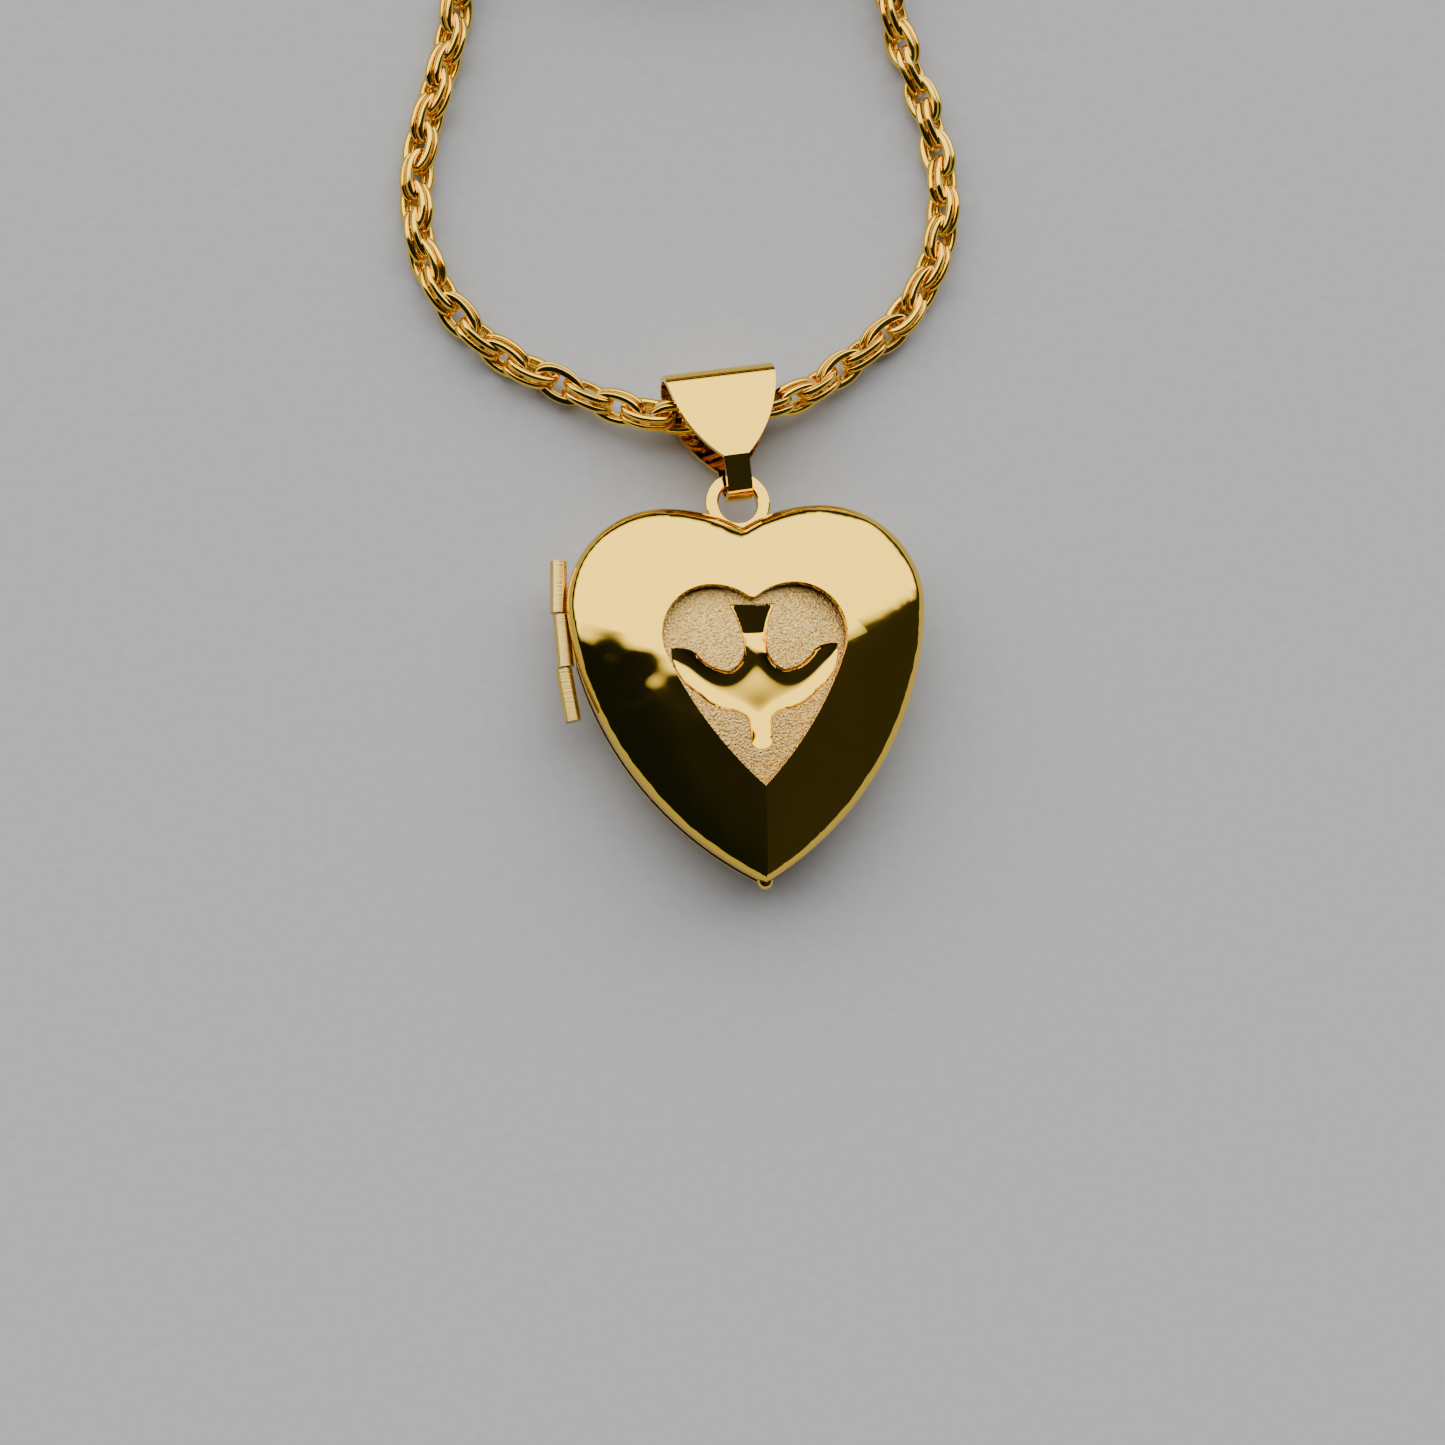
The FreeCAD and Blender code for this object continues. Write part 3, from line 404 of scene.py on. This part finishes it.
def heart_outline():
    """The emblem heart as points, counterclockwise from its tip."""
    lobe, tip = np.array((LOBE_X, LOBE_Y)), np.array((0, -TIP_DEPTH))
    reach = np.hypot(*(lobe - tip))
    gap = SIDE_RADIUS - LOBE_RADIUS
    cosine = (reach**2 + SIDE_RADIUS**2 - gap**2) / (2 * reach * SIDE_RADIUS)
    heading = math.atan2(*(lobe - tip)[::-1]) + math.acos(cosine)
    side = tip + SIDE_RADIUS * np.array((math.cos(heading), math.sin(heading)))
    meet = math.atan2(*(lobe - side)[::-1])
    crown = lobe + (0, LOBE_RADIUS - CROWN_RADIUS)
    rise = math.sqrt((CROWN_RADIUS + NOTCH_RADIUS) ** 2 - crown[0] ** 2)
    dip = math.atan2(rise, -crown[0])
    right = [
        sweep(side, SIDE_RADIUS, math.atan2(*(tip - side)[::-1]), meet),
        sweep(lobe, LOBE_RADIUS, meet, math.pi / 2),
        sweep(crown, CROWN_RADIUS, math.pi / 2, dip),
        sweep((0, crown[1] + rise), NOTCH_RADIUS, math.pi + dip, 1.5 * math.pi),
    ]
    right = np.vstack(right)
    bottom = np.array([(0, crown[1] + rise - NOTCH_RADIUS)])
    left = right[1:][::-1] * (-1, 1)
    return np.vstack([right, bottom, left])


def distance_inside(points, outline):
    """How far each point lies inside a closed outline; negative outside."""
    nearest = np.full(len(points), np.inf)
    inside = np.zeros(len(points), bool)
    for here, there in zip(outline, np.roll(outline, -1, axis=0)):
        edge = there - here
        share = np.clip(((points - here) @ edge) / (edge @ edge), 0, 1)
        nearest = np.minimum(nearest, np.hypot(*(points - here - share[:, None] * edge).T))
        if here[1] != there[1]:
            crosses = (here[1] > points[:, 1]) != (there[1] > points[:, 1])
            at = here[0] + (points[:, 1] - here[1]) * edge[0] / edge[1]
            inside ^= crosses & (points[:, 0] < at)
    return np.where(inside, nearest, -nearest)


def dish_depths(points, outline):
    """How far an evenly loaded sheet held at the outline sags at points, for a load of one."""
    low = outline.min(axis=0) - 2 * CELL
    size = np.ceil((outline.max(axis=0) + 2 * CELL - low) / CELL).astype(int)
    columns, rows = np.meshgrid(np.arange(size[0]), np.arange(size[1]), indexing="ij")
    cells = low + CELL * np.column_stack([columns.ravel(), rows.ravel()])
    inside = (distance_inside(cells, outline) > 0).reshape(size)
    sag = np.zeros(size)
    for _ in range(RELAX_ROUNDS):
        around = sag[:-2, 1:-1] + sag[2:, 1:-1] + sag[1:-1, :-2] + sag[1:-1, 2:]
        sag[1:-1, 1:-1] = np.where(inside[1:-1, 1:-1], (around + CELL**2) / 4, 0)
    place = np.clip((points - low) / CELL, 0, size - GRID_EDGE)
    cell = np.minimum(place.astype(int), size - 2)
    share = place - cell
    column, row = cell[:, 0], cell[:, 1]
    left = sag[column, row] * (1 - share[:, 1]) + sag[column, row + 1] * share[:, 1]
    right = sag[column + 1, row] * (1 - share[:, 1]) + sag[column + 1, row + 1] * share[:, 1]
    return left * (1 - share[:, 0]) + right * share[:, 0]


def plate_faces(count):
    """Faces of the plate, for rings of count points: front rings, front centre, rim and back."""
    faces = []
    for ring in range(RINGS - 1):
        for step in range(count):
            here, after = ring * count + step, ring * count + (step + 1) % count
            faces.append((here, after, after + count, here + count))
    centre = RINGS * count
    last = centre - count
    base = centre + 1
    for step in range(count):
        after = (step + 1) % count
        faces.append((last + step, last + after, centre))
        faces.append((after, step, base + step, base + after))
        faces.append((base + after, base + step, base + count))
    return faces


def make_emblem_plate():
    """A domed plate: dense rings of the heart outline, with the dove sunk into it like a dish."""
    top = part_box("emblem_plate")[1].z / MM
    outline = heart_outline() * PLATE_SCALE
    count = len(outline)
    scales = np.linspace(1, 0, RINGS + 1)[:-1]
    flat = np.vstack([outline * scale for scale in scales] + [[(0.0, 0.0)]])
    dove = dove_outline()
    inside = distance_inside(flat, dove)
    sag = np.where(inside > 0, dish_depths(flat, dove), 0)
    slide = np.clip((TAIL_TOP - flat[:, 1]) / (TAIL_TOP - TAIL_SLOPE_END), TAIL_END_SHARE, 1)
    softness = np.interp(flat[:, 1], WALL_HEIGHTS, WALL_SAGS)
    depth = BOWL_DEPTH * slide * (1 - np.exp(-sag / softness))
    dome = top - PLATE_SPHERE + np.sqrt(PLATE_SPHERE**2 - (flat**2).sum(axis=1))
    front = np.column_stack([flat, dome - depth])
    back = np.column_stack([flat[:count], dome[:count] - PLATE_THICK])
    back = np.vstack([back, [(0, 0, top - PLATE_THICK)]])
    verts = (np.vstack([front, back]) * MM).tolist()
    plate = add_piece("emblem_relief", verts, plate_faces(count), emblem_gold)
    polish = np.clip(0.5 + inside / EDGE_BLUR, 0, 1)
    layer = plate.data.attributes.new("polish", "FLOAT", "POINT")
    layer.data.foreach_set("value", np.concatenate([polish, np.zeros(len(back))]).astype(np.float32))
    plate.data.validate()
    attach(plate, "front_half")
    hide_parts("emblem_plate")


# --- chain: paired oval links in metres, its route and its coil's radii in mm ---

LINK_HALF_LENGTH = 1.38 * MM
LINK_HALF_WIDTH = 0.74 * MM
WIRE_HALF_WIDTH = 0.20 * MM
WIRE_HALF_THICK = 0.18 * MM
# powers of the superellipses: 1 is an ellipse, and less is squarer
WIRE_SQUARENESS = 0.45
LINK_SQUARENESS = 0.97
# steps round a link and sides round its wire
FINE_LINK = (36, 12)
PLAIN_LINK = (20, 8)
PAIR_OFFSET = 0.27 * MM
LINK_PITCH = 1.74 * MM
LINK_CLEARANCE = 0.02 * MM
LINK_TURN = math.radians(45)
# how unevenly the links lie: turn and yaw in radians, slip in mm
TURN_SPREAD = 0.24
YAW_SPREAD = 0.14
SLIP_SPREAD = 0.12
# this many pairs next to the bail are finely meshed
FINE_PAIRS = 30
# from the middle of the fold to the chain's first point beside the bail, in mm
BESIDE_BAIL = 3.8
SPLINE_STEPS = 12
COIL_STEPS = 24
COIL_FIRST = 11.9
COIL_LAST = 8.5
LEFT_COIL = {"start_angle": 180, "turns": -2.75, "height": 0.9 * MM}
RIGHT_COIL = {"start_angle": 0, "turns": 2.78, "height": 2.7 * MM}

# the chain runs through the bail's fold, along the axis that the bail swings on
fold_pivot = next(j for j in frame["joints"] if j["name"] == "bail_swing")
FOLD = Vector(fold_pivot["pos_m"])
PIVOT = -Vector(fold_pivot["axis"])

LEFT_ROUTE = [
    (-8.6, 18.2, 0.95),
    (-13.4, 20.6, 0.9),
    (-16.9, 25.6, 0.9),
    (-17.0, 32.0, 0.9),
    (-14.6, 38.6, 0.9),
    (-13.3, 45.2, 0.9),
    (-13.35, 50.6, 0.9),
]
RIGHT_ROUTE = [
    (7.0, 19.3, 0.95),
    (11.2, 22.4, 0.9),
    (13.7, 27.6, 0.9),
    (13.4, 33.8, 0.9),
    (11.5, 39.6, 0.95),
    (10.9, 45.2, 1.9),
    (11.35, 50.4, 2.7),
]
LEFT_END = [(-1.0, 48.9, 0.9), (-2.0, 50.0, 0.8)]
RIGHT_END = [(2.7, 50.6, 2.4), (3.67, 52.3, 1.5), (4.4, 53.6, 0.8)]


def coil_points(start_angle, turns, height):
    """The coil as points, outer turn to inner one; negative turns run clockwise."""
    box_low, box_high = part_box("chain_coil")
    centre = (box_low + box_high) / 2
    count = int(COIL_STEPS * abs(turns))
    points = []
    for step in range(count + 1):
        share = step / count
        angle = math.radians(start_angle) + 2 * math.pi * turns * share
        radius = (COIL_FIRST + (COIL_LAST - COIL_FIRST) * share) * MM
        spoke = Vector((math.cos(angle), math.sin(angle), 0)) * radius
        points.append(Vector((centre.x, centre.y, height)) + spoke)
    return points


def smooth_line(name, points):
    """Points read from one NURBS spline through the given control points."""
    curve = bpy.data.curves.new(name, "CURVE")
    curve.dimensions = "3D"
    spline = curve.splines.new("NURBS")
    spline.points.add(len(points) - 1)
    for point, place in zip(spline.points, points):
        point.co = (*place, 1)
    spline.order_u = 3
    spline.use_endpoint_u = True
    curve.resolution_u = SPLINE_STEPS
    holder = bpy.data.objects.new(name, curve)
    scene.collection.objects.link(holder)
    bpy.context.view_layer.update()
    read = bpy.data.meshes.new_from_object(holder)
    line = [vertex.co.copy() for vertex in read.vertices]
    bpy.data.objects.remove(holder)
    return line


def walk(line, pitch):
    """Positions and directions every pitch along the line, and the line's length."""
    places = []
    travelled = 0.0
    due = pitch / 2
    for here, there in zip(line, line[1:]):
        step = (there - here).length
        while travelled + step >= due and step > 0:
            share = (due - travelled) / step
            places.append((here.lerp(there, share), (there - here).normalized()))
            due += pitch
        travelled += step
    return places, travelled


def squared(value, power):
    """A sine or cosine raised to a power with its sign kept, for a superellipse."""
    return math.copysign(abs(value) ** power, value)


def link_rings(steps, sides):
    """One oval link of flattened wire about the origin, long axis X, its opening facing Z."""
    verts = []
    for step in range(steps):
        angle = 2 * math.pi * step / steps
        cosine, sine = math.cos(angle), math.sin(angle)
        along = LINK_HALF_LENGTH * squared(cosine, LINK_SQUARENESS)
        across = LINK_HALF_WIDTH * squared(sine, LINK_SQUARENESS)
        outward = Vector((cosine / LINK_HALF_LENGTH, sine / LINK_HALF_WIDTH, 0)).normalized()
        for side in range(sides):
            turn = 2 * math.pi * side / sides
            wide = squared(math.cos(turn), WIRE_SQUARENESS) * WIRE_HALF_WIDTH
            thick = squared(math.sin(turn), WIRE_SQUARENESS) * WIRE_HALF_THICK
            verts.append(Vector((along, across, 0)) + outward * wide + Vector((0, 0, thick)))
    faces = []
    for step in range(steps):
        after = (step + 1) % steps
        here, there = step * sides, after * sides
        for side in range(sides):
            beside = (side + 1) % sides
            faces.append((here + side, there + side, there + beside, here + beside))
    return verts, faces


def make_chain(name, points):
    """Pairs of links along a smooth line, turned by turns. Returns the chain, the line and its length."""
    line = smooth_line(name + "_line", points)
    places, length = walk(line, LINK_PITCH)
    fine = link_rings(*FINE_LINK)
    plain = link_rings(*PLAIN_LINK)
    verts, faces = [], []
    up = Vector((0, 0, 1))
    for index, (place, direction) in enumerate(places):
        ring_verts, ring_faces = fine if index < FINE_PAIRS else plain
        side = up.cross(direction).normalized()
        turn = (LINK_TURN if index % 2 else -LINK_TURN) + random.uniform(-TURN_SPREAD, TURN_SPREAD)
        yaw = random.uniform(-YAW_SPREAD, YAW_SPREAD)
        facing = side * math.cos(turn) + direction.cross(side) * math.sin(turn)
        along = (direction + facing.cross(direction) * yaw).normalized()
        across = facing.cross(along)
        for offset in (-PAIR_OFFSET, PAIR_OFFSET):
            slip = random.uniform(-SLIP_SPREAD, SLIP_SPREAD) * MM
            base = len(verts)
            centre = place + facing * offset + along * slip
            link = [centre + along * v.x + across * v.y + facing * v.z for v in ring_verts]
            # a link rests on the floor, never in it
            lift = up * max(0, LINK_CLEARANCE - min(v.z for v in link))
            verts += [v + lift for v in link]
            faces += [tuple(base + i for i in face) for face in ring_faces]
    chain = add_piece(name, [tuple(v) for v in verts], faces, chain_gold)
    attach(chain, "chain")
    return chain, line, length


def make_chains():
    pivot_step = PIVOT * BESIDE_BAIL * MM
    left = [FOLD, FOLD - pivot_step] + [Vector(p) * MM for p in LEFT_ROUTE]
    left += coil_points(**LEFT_COIL) + [Vector(p) * MM for p in LEFT_END]
    right = [FOLD, FOLD + pivot_step] + [Vector(p) * MM for p in RIGHT_ROUTE]
    right += coil_points(**RIGHT_COIL) + [Vector(p) * MM for p in RIGHT_END]
    left_chain, left_line, left_length = make_chain("chain_left", left)
    right_chain, right_line, right_length = make_chain("chain_right", right)
    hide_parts("chain_left_run", "chain_coil")
    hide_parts("chain_right_run")


# --- room ---

FLOOR_REACH = 3.0
FLOOR_GRAIN = 1500.0
FLOOR_DEPTH = 0.05 * MM
FLOOR_STRENGTH = 0.4
FLOOR_ROUGHNESS = 0.85
FLOOR_DARK = (0.47, 0.49, 0.525)
FLOOR_LIGHT = (0.55, 0.57, 0.605)


def make_floor():
    material, tree, shader = new_material("floor")
    mottle = noise(tree, object_coordinates(tree), FLOOR_GRAIN, detail=4.0)
    tint(tree, shader, mottle, FLOOR_DARK, FLOOR_LIGHT)
    shader.inputs["Roughness"].default_value = FLOOR_ROUGHNESS
    bump(tree, shader, mottle, FLOOR_DEPTH, FLOOR_STRENGTH)
    corners = [(x * FLOOR_REACH, y * FLOOR_REACH, 0) for x, y in ((-1, -1), (1, -1), (1, 1), (-1, 1))]
    floor = add_piece("floor", corners, [(0, 1, 2, 3)], material, smooth=False)


# The light comes from +Y: none below the first Y of its direction, all of it above the second.
# SKY_LEAN leans that edge with X, and HORIZON brings the light in with Z in the same way.
SKY = 2.9
SKY_EDGE = (0.14, 0.21)
SKY_LEAN = 0.12
HORIZON = (0.14, 0.24)
DIM_REACH = 0.5
DAYLIGHT = (1.0, 0.97, 0.92)
DARK_LEFT = (0.003, 0.0045, 0.009)
DARK_RIGHT = (0.012, 0.0125, 0.014)


def make_room():
    """Plain soft light: one broad bright side past the bail, fading into a dim room."""
    world = bpy.data.worlds.new("room")
    world.use_nodes = True
    tree = world.node_tree
    background = next(n for n in tree.nodes if n.type == "BACKGROUND")
    place = tree.nodes.new("ShaderNodeTexCoord")
    split = tree.nodes.new("ShaderNodeSeparateXYZ")
    tree.links.new(place.outputs["Generated"], split.inputs[0])
    lean = combine(tree, "MULTIPLY", split.outputs["X"], -SKY_LEAN)
    side = ramp(tree, combine(tree, "ADD", split.outputs["Y"], lean), 0, 1, *SKY_EDGE)
    height = ramp(tree, split.outputs["Z"], 0, 1, *HORIZON)
    across = ramp(tree, split.outputs["X"], 0, 1, -DIM_REACH, DIM_REACH)
    dim = blend_color(tree, across, DARK_LEFT, DARK_RIGHT)
    bright = combine(tree, "MULTIPLY", side, height)
    tree.links.new(blend_color(tree, bright, dim, DAYLIGHT), background.inputs["Color"])
    background.inputs["Strength"].default_value = SKY
    scene.world = world


make_camera()
dress_nodes()
make_emblem_plate()
make_chains()
make_floor()
make_room()
